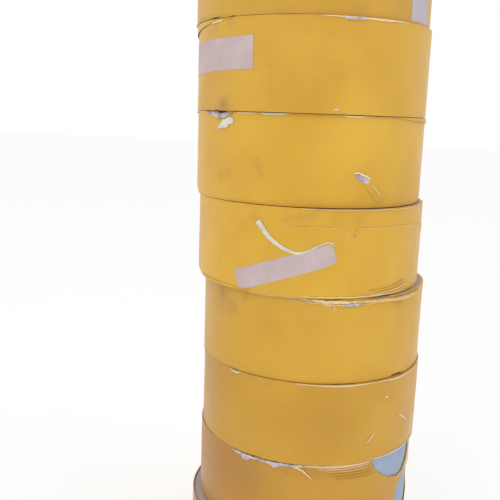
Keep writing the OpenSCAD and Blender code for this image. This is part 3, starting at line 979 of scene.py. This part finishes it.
# %% The bits that show at the front
# Cream and amber bits are film painted lighter, a painted highlight on a paler edge; lilac bits
# are liner painted darker, as painted shade.
CREAM, AMBER, WHITE, LILAC, YELLOW = "cream", "amber", "white", "lilac", "yellow"
BITS = {  # ring: [(finish, raggedness, crumple, [(degrees, up, above, below, off), ...]), ...]
    9: [(YELLOW, .5, .3, [(-66, 2.6, .5, .6, 0), (-52, 2.3, .9, 1.0, .4), (-40, 2.4, .5, .6, 0)])],
    8: [(CREAM, .3, .2, [(2, 98.9, .3, .5, 0), (10, 98.8, .4, .9, .3), (20, 98.6, .4, 1.2, .3),
                         (30, 98.5, .5, 1.6, .4), (38, 98.6, .4, 1.1, .3), (46, 98.9, .3, .5, 0)]),
        (LILAC, .6, .4, [(12.5, 97.8, .6, 1, .2), (15, 97.3, 1.2, 1.6, .5),
                         (18, 97.4, 1, 1.2, .4), (20, 97.1, 1.3, 1.5, .5),
                         (22.5, 98, .5, .8, .2)]),
        (CREAM, .5, .3, [(-57, 97.6, .5, .8, .1), (-52, 96.4, .9, 1.6, .5),
                         (-46, 97.4, .5, .9, .1)]),
        (WHITE, .2, 0, [(9.8, 4.9, .4, .5, 0), (10.8, 4.8, .9, 1.0, .1), (11.7, 5, .4, .4, 0)]),
        (YELLOW, .2, .2, [(-122, 98.6, .6, .4, .1), (-112, 93, 6.2, .5, .5),
                          (-100, 88, 11.2, .5, 1.2), (-88, 87, 12.2, .5, 1.2),
                          (-78, 89.5, 9.7, .5, 1.2), (-67, 92.9, 6.3, .5, 1.0),
                          (-57, 95.9, 3.3, .4, .8), (-48, 97.7, 1.5, .4, .4),
                          (-40, 98.7, .5, .3, .2)])],
    7: [(LILAC, 1.3, .9, [(-60, 98.6, .5, .6, .2), (-55, 97.2, 1.2, 1.8, .5),
                          (-50, 95.4, 2.2, 2.8, .9), (-46, 94.6, 2.6, 3, 1.1),
                          (-42, 95.4, 2.2, 2, .8), (-38, 97.6, .8, .8, .2)]),
        (WHITE, 1.6, .5, [(-48.6, 81.2, .6, .8, 0), (-46.6, 82.6, 2.4, 2.6, .2),
                          (-44.6, 84.2, 4.6, 4.0, .3), (-42.4, 86.4, 5.2, 4.4, .4),
                          (-40.2, 89.2, 4.4, 4.2, .4), (-38, 91, 1.6, 4.4, .2),
                          (-37, 90, .5, 1.0, 0)]),
        (CREAM, .3, .2, [(-68, 98.9, .3, .5, 0), (-63, 98.4, .4, .9, .3), (-58, 98.8, .3, .5, 0)]),
        (CREAM, .3, .2, [(-36, 98.8, .3, .5, 0), (-31, 98.5, .4, 1.2, .3),
                         (-25, 98.9, .2, .5, 0)]),
        (WHITE, .2, .1, [(-23, 98.9, .2, .5, .1), (-20, 98.7, .5, 1.5, .3),
                         (-14, 98.7, .5, 1.5, .3), (-9.5, 98.9, .2, .5, .1)]),
        (CREAM, .2, .1, [(14.5, 98.8, .2, .5, .1), (17, 98.6, .5, 1.2, .25),
                         (22, 98.6, .5, 1.2, .25), (25, 98.8, .2, .4, .1)]),
        (YELLOW, .2, .2, [(30, 98.9, .4, .3, .1), (40, 98.6, .7, .4, .3), (50, 97.4, 1.9, .4, .9),
                          (61, 96.1, 3.2, .5, 1.0), (73, 94.8, 4.5, .5, 1.2),
                          (85, 94, 5.3, .5, 1.2), (98, 95, 4.3, .5, 1.0),
                          (110, 97.6, 1.7, .4, .4), (118, 98.9, .4, .3, .1)])],
    6: [(AMBER, .3, .2, [(-4, 98.9, .2, .4, 0), (10, 98.8, .3, .6, .3), (25, 98.7, .3, .8, .4),
                         (40, 98.7, .4, .7, .3), (55, 98.7, .3, .8, .3), (70, 98.9, .2, .5, 0)]),
        (AMBER, .5, .6, [(26, 4.6, .3, .3, .1), (36, 4.4, .6, .6, .7), (46, 6.4, .7, .7, .9),
                         (54, 9.6, .5, .5, .5), (58, 11.4, .2, .2, 0)]),
        (YELLOW, .5, .6, [(30, 8.2, .3, .3, 0), (42, 9.2, .7, .8, .8), (50, 13, .5, .5, .4),
                          (54, 15, .2, .2, 0)]),
        (YELLOW, .4, .3, [(-66, 3.4, .5, .6, 0), (-55, 3.0, .9, 1.2, .5), (-42, 2.6, .9, 1.2, .5),
                          (-28, 2.3, .5, .6, 0)]),
        (CREAM, .4, .4, [(-2, 1.9, .3, .4, 0), (8, 1.8, .5, .6, .4), (20, 1.8, .5, .6, .4),
                         (34, 2.2, .7, .8, .6), (46, 2.0, .5, .6, .3), (54, 2, .3, .3, 0)])],
    5: [(CREAM, .6, .5, [(-34, 98.8, .2, .5, 0), (-24, 98.3, .4, 1.0, .3), (-14, 98.5, .3, .8, .2),
                         (-5, 98.5, .3, .9, .3)]),
        (CREAM, .8, 1.0, [(-8, 98.4, .3, .6, .1), (0, 97.4, .7, 1.6, .8), (8, 96.4, 1.1, 2.0, 1.2),
                          (16, 96.2, 1.0, 1.6, 1.2), (22, 97, .4, .8, .5)]),
        (AMBER, .8, 1.2, [(18, 97.6, .4, .7, .3), (25, 96.6, 1.1, 2.0, 1.3),
                          (33, 96.4, 1.3, 2.2, 1.6), (41, 96.2, 1.4, 2.6, 2.0),
                          (49, 96.0, 1.6, 2.8, 2.0), (57, 96.6, 1.3, 2.0, 1.2),
                          (66, 98.3, .3, .7, .1)]),
        (AMBER, .6, .7, [(-12, 96.2, .3, .5, .1), (-2, 94.8, .6, 1.0, .5), (8, 93.2, .7, 1.2, .7),
                         (15, 92.6, .6, 1, .8), (26, 93.4, .6, .8, .7), (38, 94.6, .6, .9, .8),
                         (48, 95, .3, .5, .2)]),
        (LILAC, .9, .9, [(12.5, 92.8, .5, .7, .4), (16, 92.4, 1.4, 1.4, 1.0),
                         (20, 93.4, 1.4, 1.4, 1.1), (24, 94.8, .6, .8, .4)]),
        (WHITE, .5, .5, [(37, 95.4, .4, .6, .8), (43, 95.4, 1, 1.3, 1.8),
                         (49, 95.2, 1.2, 1.3, 1.9), (55, 95.4, .5, .6, .9)]),
        (CREAM, .2, .2, [(3.8, 91.4, .3, .3, .2), (6.4, 92, .5, .5, .5), (9.4, 91.4, .5, .5, .7),
                         (9.2, 88, .45, .45, .8), (8.6, 84, .25, .25, .2)])],
    4: [(WHITE, .4, .3, [(-43.5, 98, .3, .6, .1), (-40, 97.2, .9, 1.3, .5),
                         (-36.8, 97.8, .4, .7, .2)]),
        (CREAM, .2, .1, [(-7, 98.9, .2, .4, 0), (2, 98.8, .3, .9, .3), (12, 98.6, .5, 1.4, .35),
                         (20, 98.6, .5, 1.3, .3), (30, 98.8, .3, .7, .2), (38, 98.8, .3, .7, .2)]),
        (CREAM, .4, .4, [(38, 98.5, .3, .7, .2), (44, 98.0, .6, 1.4, .8), (50, 98.1, .6, 1.3, .9),
                         (56, 98.4, .5, 1.1, .5), (64, 98.6, .3, .8, .3), (73, 98.8, .2, .4, 0)]),
        (WHITE, .2, .1, [(34, 1.7, .4, .5, .1), (45, 1.7, .8, .8, .4), (60, 1.7, .8, .8, .4),
                         (75, 1.7, .4, .4, 0)]),
        (CREAM, .3, .2, [(38.9, 77.2, .5, .6, 0), (39.9, 77.6, 1.2, 1.2, .3),
                         (41, 77.1, .5, .6, 0)]),
        (CREAM, .3, .2, [(29.3, 24.4, .3, .4, 0), (30.6, 27.6, 1.0, 1.1, .3),
                         (32.2, 31.8, .9, .9, .3), (33.8, 35.6, .3, .3, 0)]),
        (CREAM, .3, .2, [(50.8, 48.4, .6, .6, 0), (53.6, 44, 1.1, 1.1, .3),
                         (57.4, 37.6, .6, .6, .2), (62.4, 29, .3, .3, 0)])],
    3: [(LILAC, 1.2, .8, [(-39, 98.2, .4, .6, .1), (-31, 96.8, 1.5, 2, .6),
                          (-22, 96.7, 1.4, 1.9, .5), (-14, 96.4, 1.6, 2.2, .6),
                          (-6, 96.6, 1.5, 1.8, .5), (0, 97.4, .8, 1.2, .3)]),
        (LILAC, 1.1, .6, [(-33, 95, .6, .8, .3), (-30, 93.2, 1.2, 2.4, .9),
                          (-27.6, 94.6, .5, .8, .3)]),
        (LILAC, 1.1, .6, [(-17, 94.6, .6, .8, .3), (-14.6, 93.4, 1.3, 2, .8),
                         (-12.4, 95, .5, .8, .3)]),
        (CREAM, .4, .4, [(-6.5, 95.8, .8, .8, .5), (-2.2, 93.4, 1.1, 1.1, .9),
                         (.8, 88.2, 1, 1, 1), (2.6, 84, .7, .7, .6), (4, 80.4, .3, .3, .2)]),
        (CREAM, .35, .3, [(-3, 98, .5, 1, .3), (6, 97.7, .8, 1.7, .4), (16, 97.5, .9, 2, .4),
                          (26, 97.5, .9, 1.9, .4), (33, 97.8, .7, 1.2, .3)]),
        (CREAM, .3, .2, [(6, 94.2, .3, .4, .1), (14, 93.6, .5, .6, .3), (24, 93.8, .5, .6, .3),
                         (32, 95, .3, .4, .1)]),
        (AMBER, .3, .1, [(9, 91.4, .3, .3, 0), (18, 90.6, .6, .6, .4), (28, 90.8, .6, .6, .4),
                         (35, 92.2, .3, .3, 0)]),
        (YELLOW, .3, .1, [(10, 88.2, .3, .3, 0), (19, 87.2, .7, .7, .6), (29, 87.2, .7, .7, .6),
                          (36, 88.6, .3, .3, 0)]),
        (YELLOW, .3, .1, [(12, 84.6, .3, .3, 0), (20, 83.8, .7, .7, .6), (29, 83.6, .7, .7, .6),
                          (37, 84.8, .3, .3, 0)]),
        (YELLOW, .3, .1, [(15, 80.8, .3, .3, 0), (22, 80.2, .7, .7, .5), (30, 80, .7, .7, .5),
                          (37, 80.8, .3, .3, 0)])],
}

# %% The bits that are drawn by lot
for ring in RINGS:
    BITS.setdefault(ring, [])
    around = (85, 275) if 3 <= ring <= 9 else (-75, 275)
    for _ in range(round((around[1] - around[0]) / 22)):
        start, length = draw.uniform(*around), draw.uniform(6, 20)
        up, lift = draw.choice((98.5, 98.3, 97.6, 1.9)), draw.uniform(.3, .9)
        wide = draw.uniform(.5, 1.3)
        BITS[ring].append((draw.choice((CREAM, AMBER, WHITE, LILAC, YELLOW)), draw.uniform(.3, .8),
                           draw.uniform(.2, .7),
                           [(start, up, .2, .3, 0), (start + length / 3, up, .4, wide, lift),
                            (start + length * .7, up, .4, wide, lift),
                            (start + length, up, .2, .3, 0)]))
for ring, bits in sorted(BITS.items()):
    for finish_name, slot_name, material in ((CREAM, "yellow_film", cream_highlight_film),
                                             (AMBER, "yellow_film", amber_highlight_film),
                                             (WHITE, "white_liner", white_liner),
                                             (LILAC, "white_liner", shaded_lavender_liner),
                                             (YELLOW, "yellow_film", yellow_film)):
        strips = [strip(f"bit_{ring}_{i}", ring, stops, material, ragged=ragged, crumple=crumple,
                        seed=ring + i * 3.7, steps=6, across=4)
                  for i, (kind, ragged, crumple, stops) in enumerate(bits) if kind == finish_name]
        if strips:
            joined(f"{finish_name}_bits_{ring:02d}", ring, slot_name, material, strips)

# %% [markdown]
# ## The base plate
#
# A thick plate with rounded corners, four anchor holes and a drain in the middle. Its cut edges
# are slightly broken, as a ground plate's are.

# %% Base plate
def cut_round(piece, x, y, radius):
    bpy.ops.object.select_all(action="DESELECT")
    bpy.ops.mesh.primitive_cylinder_add(vertices=64, radius=radius, depth=0.1, location=(x, y, 0))
    subtract(piece, added("hole_cutter"))


PLATE_CORNER_R, BROKEN_EDGE = 22 * MM, 1.1 * MM
ANCHOR_INSET, ANCHOR_HOLE_R, DRAIN_R = 30 * MM, 11 * MM, 30 * MM
low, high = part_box("base_plate")
plate_size = high - low
bpy.ops.object.select_all(action="DESELECT")
bpy.ops.mesh.primitive_cube_add(size=1, location=(low + high) / 2)
plate = added("base_plate_bevelled")
plate.scale = plate_size
bpy.ops.object.transform_apply(location=True, scale=True)
only(plate)
bpy.ops.object.mode_set(mode="EDIT")
bpy.ops.mesh.select_mode(type="EDGE")
bpy.ops.mesh.select_all(action="DESELECT")
bpy.ops.object.mode_set(mode="OBJECT")
for edge in plate.data.edges:
    a, b = (plate.data.vertices[i].co for i in edge.vertices)
    edge.select = abs(a.z - b.z) > 1 * MM
bpy.ops.object.mode_set(mode="EDIT")
bpy.ops.mesh.bevel(offset=PLATE_CORNER_R, segments=10, affect="EDGES")
close_and_face_out(plate)
anchor = plate_size.x / 2 - ANCHOR_INSET
for x, y in ((anchor, anchor), (-anchor, anchor), (-anchor, -anchor), (anchor, -anchor)):
    cut_round(plate, x, y, ANCHOR_HOLE_R)
cut_round(plate, 0, 0, DRAIN_R)
edges = plate.modifiers.new("broken_edges", "BEVEL")
edges.width, edges.segments, edges.limit_method = BROKEN_EDGE, 3, "ANGLE"
edges.angle_limit = math.radians(40)
finish(plate, "post", "bare_steel", galvanised, "base_plate")

# %% [markdown]
# ## Weld bead, seat ring, cap and screws
#
# The bead round the tube's foot is a ring laid down in short overlapping ripples. The seat ring is
# turned plastic. The cap is turned too, a flat flange with a shallow dome, and its top has a few
# shallow knocks. Four button-head screws hold it, each with a hexagon socket.

# %% Weld and seat ring
BEAD_THICK, BEAD_IN, BEAD_UP = 3.5 * MM, 3.6 * MM, 1.6 * MM  # radius; middle in from the box, up
low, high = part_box("foot_weld")
bead_r = (high.x - low.x) / 2 - BEAD_IN
bpy.ops.object.select_all(action="DESELECT")
bpy.ops.mesh.primitive_torus_add(major_radius=bead_r, minor_radius=BEAD_THICK,
                                 major_segments=420, minor_segments=14,
                                 location=(0, 0, low.z + BEAD_UP))
bead = added("weld_bead")
bpy.ops.object.transform_apply(location=True)
for point in bead.data.vertices:
    turn = math.atan2(point.co.y, point.co.x)
    ripple = abs(math.sin(turn * 55 + 0.6 * math.sin(turn * 9))) ** 0.6
    heart = Vector((bead_r * math.cos(turn), bead_r * math.sin(turn), low.z + BEAD_UP))
    point.co = heart + (point.co - heart) * (0.86 + 0.13 * ripple)
finish(bead, "post", "weld_metal", weld_metal, "foot_weld", smooth=60)

low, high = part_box("seat_ring")
outer, inner = (high.x - low.x) / 2, bead_r + 5 * MM
soft = 1.5 * MM
seat = turned("seat_ring_turned",
              [(inner, low.z + soft), (inner + soft, low.z), (outer - soft, low.z),
               (outer - .3 * MM, low.z + .4 * MM), (outer, low.z + soft), (outer, high.z - soft),
               (outer - .3 * MM, high.z - .4 * MM), (outer - soft, high.z),
               (inner + soft, high.z), (inner, high.z - soft)], 200)
finish(seat, "post", "black_plastic", black_plastic, "seat_ring", smooth=50)


# %% Cap and screws
def turned_solid(name, section, around):
    """Turns an open half section from the top to the underside and fills the two small ends."""
    piece = pull_along(name, section, around)
    bpy.ops.mesh.select_all(action="DESELECT")
    bpy.ops.mesh.select_non_manifold()
    bpy.ops.mesh.fill_holes(sides=0)
    close_and_face_out(piece)
    return piece


CAP_T, DOME_FOOT, RIM_ROUND = 6 * MM, 45.35 * MM, 3.5 * MM  # the sheet, dome radius, rim radius
low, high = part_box("cap")
cap_r, foot_z, rise = (high.x - low.x) / 2, low.z, high.z - low.z - CAP_T
dome_r = (DOME_FOOT ** 2 + rise ** 2) / (2 * rise)
turns = np.linspace(0.05, math.asin(DOME_FOOT / dome_r), 14)
outside = [(dome_r * math.sin(a), foot_z + CAP_T + rise - dome_r * (1 - math.cos(a)))
           for a in turns]
fillet = [(DOME_FOOT + x * MM, foot_z + CAP_T + z * MM) for x, z in ((1.2, -.1), (3, 0))]
flat_rows = [(r, foot_z + CAP_T) for r in np.linspace(DOME_FOOT + 12 * MM, cap_r - 5 * MM, 6)]
rim = [(cap_r - RIM_ROUND * (1 - math.sin(a)), foot_z + CAP_T - RIM_ROUND * (1 - math.cos(a)))
       for a in np.linspace(0, math.pi / 2, 7)]
under = [(cap_r, foot_z + .6 * MM), (cap_r - .6 * MM, foot_z), (DOME_FOOT, foot_z)]
inner_r = dome_r - CAP_T
inner_foot = math.sqrt(inner_r ** 2 - (inner_r - rise) ** 2)
hollow = [(inner_r * math.sin(a), foot_z + rise - inner_r * (1 - math.cos(a)))
          for a in np.linspace(math.asin(inner_foot / inner_r), 0.06, 10)]
cap = turned_solid("cap_turned", outside + fillet + flat_rows + rim + under + hollow, 192)
for point in cap.data.vertices:
    knock = noise.noise(point.co * 22) + 0.5 * noise.noise(point.co * 60)
    if point.co.z > foot_z + 3 * MM:
        point.co.z -= 0.25 * MM * max(0, knock)
finish(cap, "post", "painted_cap", painted_cap, "cap", smooth=40)

SCREW_D, KEY_SHARE = 12, 0.33  # the screw's size in mm; its key socket's radius over that
low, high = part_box("cap_screws")
head_r, head_h, head_z = 10.8 * MM, 6.6 * MM, foot_z + CAP_T
screw_at = (high.x - low.x) / 2 - head_r
round_r = 1.4 * head_r
crown = [(round_r * math.sin(a), head_z + head_h - round_r * (1 - math.cos(a)))
         for a in np.linspace(0.12, math.asin(0.99 * head_r / round_r), 9)]
crown = [(r, z) for r, z in crown if z > head_z + .6 * MM]
shank_r = SCREW_D / 2 * MM
shank = [(head_r, head_z + .5 * MM), (head_r - .4 * MM, head_z), (shank_r, head_z),
         (shank_r, low.z + MM), (5 * MM, low.z)]
screw = turned_solid("screw", crown + shank, 48)
bpy.ops.object.select_all(action="DESELECT")
bpy.ops.mesh.primitive_cylinder_add(vertices=6, radius=KEY_SHARE * SCREW_D * MM, depth=2 * head_h,
                                    location=(0, 0, head_z + head_h * 1.35))
subtract(screw, added("socket_cutter"))
screws = []
for i, (x, y) in enumerate(((1, 1), (-1, 1), (-1, -1), (1, -1))):
    one = copy_of(screw, f"screw_{i}")
    one.rotation_euler.z = 0.7 * i
    one.location = (x * screw_at, y * screw_at, 0)
    screws.append(one)
bpy.data.objects.remove(screw)
for one in screws:
    only(one)
    bpy.ops.object.transform_apply(location=True, rotation=True)
only(screws[0])
for one in screws[1:]:
    one.select_set(True)
bpy.ops.object.join()
screws[0].name = screws[0].data.name = "cap_screws_turned"
finish(screws[0], "post", "screw_steel", zinc_screw, "cap_screws", smooth=40)

# %% [markdown]
# ## The steel inside
#
# The tube, its head ring and weld, and the hoop in each ring are kept exactly as the CAD has
# them, since they are hidden once the cap is on. They only get their finish.

# %% Finish for the hidden steel
hidden = {"core_tube": galvanised, "head_ring": galvanised, "head_weld": weld_metal}
hidden.update({node: hoop_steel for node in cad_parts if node.startswith("hoop_")})
for node, material in hidden.items():
    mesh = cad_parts[node].data
    if not mesh.materials:
        mesh.materials.append(material)
    for i in range(len(mesh.materials)):
        mesh.materials[i] = material
print("finished as CAD:", ", ".join(sorted(hidden)))
